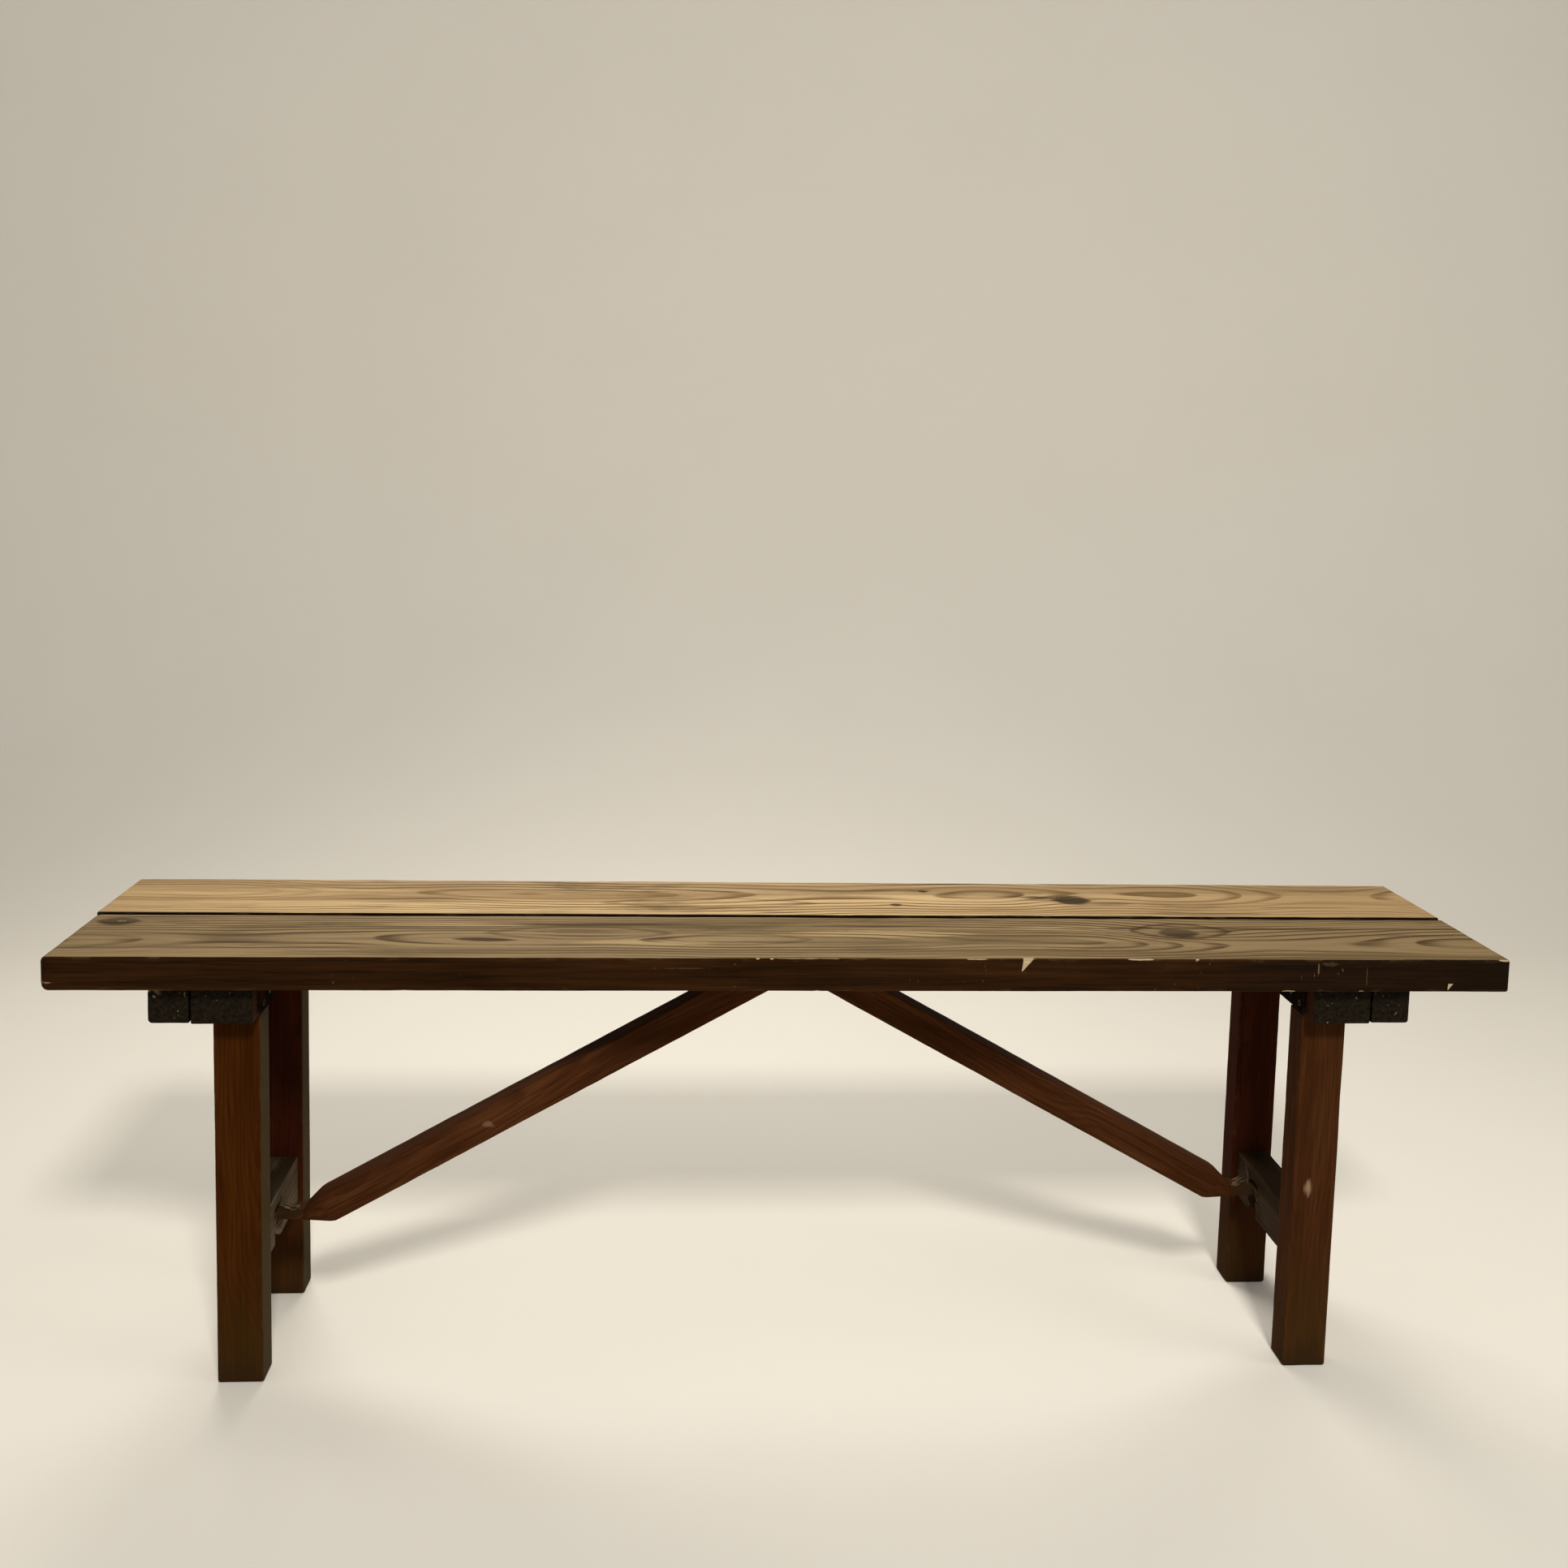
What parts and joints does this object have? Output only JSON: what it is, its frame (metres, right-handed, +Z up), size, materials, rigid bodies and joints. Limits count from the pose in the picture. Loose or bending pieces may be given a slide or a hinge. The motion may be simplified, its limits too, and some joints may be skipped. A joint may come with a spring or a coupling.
{
  "type": "folding bench",
  "caption": "Long low wooden bench with a two-plank seat, inward-folding leg frames on butt hinges and diagonal braces that swing from a pivot under the seat.",
  "frame": {"origin": "on the floor under the middle of the seat", "axes": "+X along the seat to the right, -Y to the front, +Z up"},
  "size_m": [1.5, 0.3, 0.472],
  "materials": {
    "seat_pine": "worn pine with old varnish",
    "frame_wood": "red-brown stain, worn",
    "batten_wood": "dark weathered stain",
    "dark_steel": "dull dark steel"
  },
  "bodies": {
    "seat": {"bracket_cheek_left": "dark_steel", "bracket_cheek_middle": "dark_steel", "bracket_cheek_right": "dark_steel", "bracket_plate": "dark_steel", "front_plank": "seat_pine", "left_brace_bolt": "dark_steel", "left_cleat": "batten_wood", "left_front_hinge_pin": "dark_steel", "left_front_hinge_seat_leaf": "dark_steel", "left_rear_hinge_pin": "dark_steel", "left_rear_hinge_seat_leaf": "dark_steel", "rear_plank": "seat_pine", "right_brace_bolt": "dark_steel", "right_cleat": "batten_wood", "right_front_hinge_pin": "dark_steel", "right_front_hinge_seat_leaf": "dark_steel", "right_rear_hinge_pin": "dark_steel", "right_rear_hinge_seat_leaf": "dark_steel"},
    "left_brace": {"left_brace": "frame_wood"},
    "left_leg_frame": {"left_front_hinge_frame_leaf": "dark_steel", "left_front_leg": "frame_wood", "left_rear_hinge_frame_leaf": "dark_steel", "left_rear_leg": "frame_wood", "left_stretcher": "frame_wood", "left_top_rail": "batten_wood"},
    "right_brace": {"right_brace": "frame_wood"},
    "right_leg_frame": {"right_front_hinge_frame_leaf": "dark_steel", "right_front_leg": "frame_wood", "right_rear_hinge_frame_leaf": "dark_steel", "right_rear_leg": "frame_wood", "right_stretcher": "frame_wood", "right_top_rail": "batten_wood"}
  },
  "joints": [
    {"name": "left_leg_fold", "type": "hinge", "parent": "seat", "child": "left_leg_frame", "pos_m": [-0.5415, 0, 0.4315], "axis": [0, -1, 0], "range_deg": [0, 90]},
    {"name": "left_brace_swing", "type": "hinge", "parent": "seat", "child": "left_brace", "pos_m": [-0.026, 0, 0.416], "axis": [0, -1, 0], "range_deg": [0, 138]},
    {"name": "right_leg_fold", "type": "hinge", "parent": "seat", "child": "right_leg_frame", "pos_m": [0.5415, 0, 0.4315], "axis": [0, 1, 0], "range_deg": [0, 90]},
    {"name": "right_brace_swing", "type": "hinge", "parent": "seat", "child": "right_brace", "pos_m": [0.026, 0, 0.416], "axis": [0, 1, 0], "range_deg": [0, 138]}
  ],
  "couplings": [
    {"joint": "left_brace_swing", "follows": "left_leg_fold", "ratio": 1.53},
    {"joint": "right_brace_swing", "follows": "right_leg_fold", "ratio": 1.53}
  ]
}
